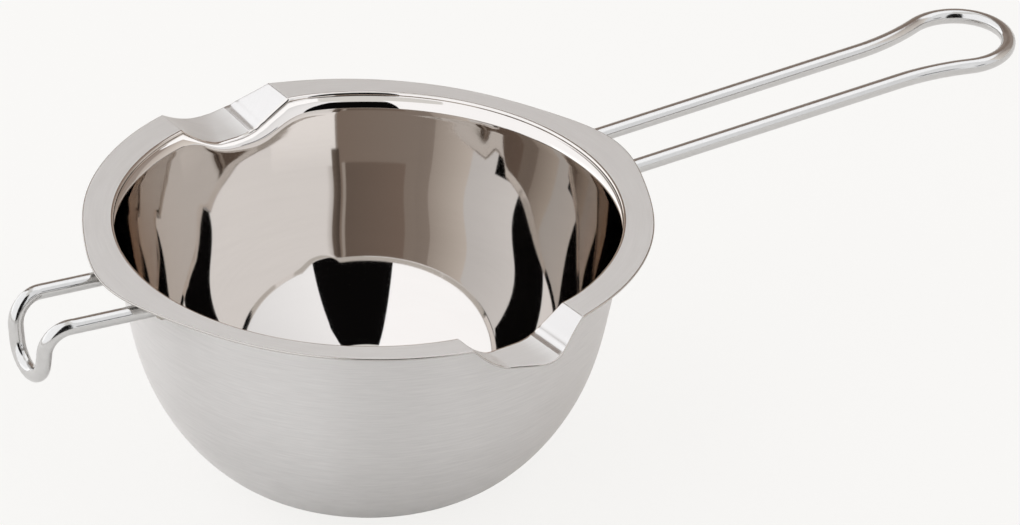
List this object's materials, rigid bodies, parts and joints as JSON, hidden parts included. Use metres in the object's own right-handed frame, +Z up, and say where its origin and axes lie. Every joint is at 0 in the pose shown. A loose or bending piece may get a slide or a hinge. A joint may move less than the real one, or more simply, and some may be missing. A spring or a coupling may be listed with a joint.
{
  "type": "melting bowl",
  "caption": "Round steel melting bowl with a flat rim, pouring spouts, a long looped wire handle and a wire hook, made to hang in a pan of hot water.",
  "frame": {"origin": "centre of the base's flat underside, on the bowl's axis", "axes": "+Z up along the bowl's axis, +X along the handle"},
  "size_m": [0.2825, 0.1464, 0.0665],
  "materials": {
    "bowl_steel": "satin outside and on the flange, mirror-polished inside",
    "wire_steel": "polished round wire",
    "weld_steel": "cleaned weld bead"
  },
  "bodies": {
    "root": {"bowl": "bowl_steel", "handle_wire": "wire_steel", "rest_hook": "wire_steel", "handle_weld_left": "weld_steel", "handle_weld_right": "weld_steel", "hook_weld_left": "weld_steel", "hook_weld_right": "weld_steel"}
  },
  "joints": []
}
